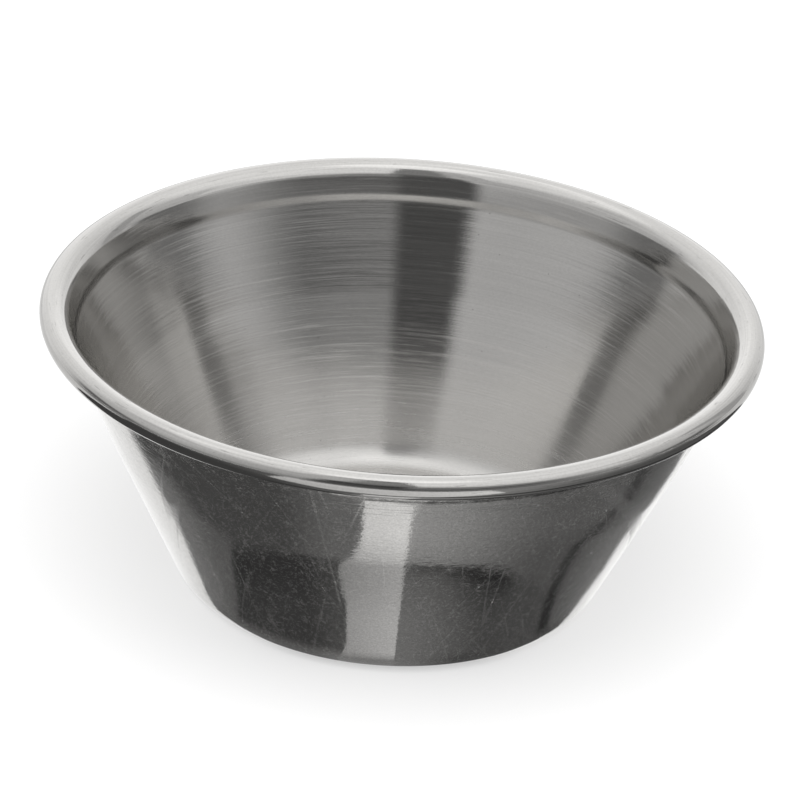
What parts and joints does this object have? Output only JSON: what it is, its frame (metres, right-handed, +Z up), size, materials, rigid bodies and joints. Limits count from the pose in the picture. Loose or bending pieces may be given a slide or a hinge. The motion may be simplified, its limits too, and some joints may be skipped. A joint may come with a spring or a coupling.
{
  "type": "prep bowl",
  "caption": "Small round steel prep bowl with a flat base, sloping drawn wall and hollow rolled rim, for holding sauces, dips and measured ingredients.",
  "frame": {"origin": "middle of the flat underside, on the surface that the bowl stands on", "axes": "+Z up along the bowl's axis, from the base to the rim; X and Y are any two directions square to it"},
  "size_m": [0.073, 0.073, 0.03],
  "materials": {
    "steel": "stainless steel sheet, spun brush lines inside, worn polish outside and on the rim"
  },
  "bodies": {
    "root": {"bowl": "steel"}
  },
  "joints": []
}
